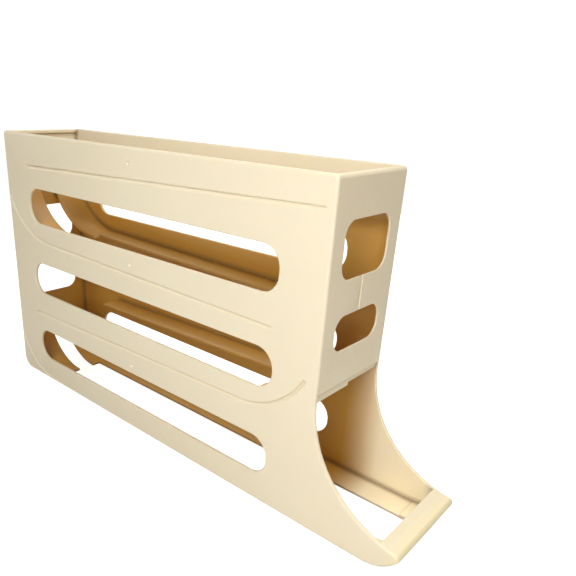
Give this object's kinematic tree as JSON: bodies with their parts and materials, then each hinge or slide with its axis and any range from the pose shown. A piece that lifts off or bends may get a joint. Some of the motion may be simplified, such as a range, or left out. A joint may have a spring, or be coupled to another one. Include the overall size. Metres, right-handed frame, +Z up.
{
  "type": "rolling egg dispenser",
  "caption": "Narrow upright cream plastic dispenser: eggs go in on top, roll down switchback rails between slotted side panels, and wait behind a hooked lip.",
  "frame": {"origin": "middle of the footprint, on the surface that the dispenser stands on", "axes": "+X from the back wall toward the outlet lip, +Y from the near half toward the far half across the seam, +Z up"},
  "size_m": [0.345, 0.065, 0.1895],
  "materials": {
    "cream_plastic": "satin, lightly moulded cream plastic"
  },
  "bodies": {
    "near_half": {"near_side_panel": "cream_plastic", "near_front_wall": "cream_plastic", "near_back_wall": "cream_plastic", "near_outlet_lip": "cream_plastic", "near_tray_rail": "cream_plastic", "near_tier_2_rail": "cream_plastic", "near_tier_3_rail": "cream_plastic", "near_tier_4_rail": "cream_plastic", "near_tier_2_guide": "cream_plastic", "near_tier_3_guide": "cream_plastic", "near_tier_4_guide": "cream_plastic"},
    "far_half": {"far_side_panel": "cream_plastic", "far_front_wall": "cream_plastic", "far_back_wall": "cream_plastic", "far_outlet_lip": "cream_plastic", "far_tray_rail": "cream_plastic", "far_tier_2_rail": "cream_plastic", "far_tier_3_rail": "cream_plastic", "far_tier_4_rail": "cream_plastic", "far_tier_2_guide": "cream_plastic", "far_tier_3_guide": "cream_plastic", "far_tier_4_guide": "cream_plastic"}
  },
  "joints": [
    {"name": "halves_pull_apart", "type": "slide", "parent": "near_half", "child": "far_half", "axis": [0, 1, 0], "range_m": [0, 0.08]}
  ]
}
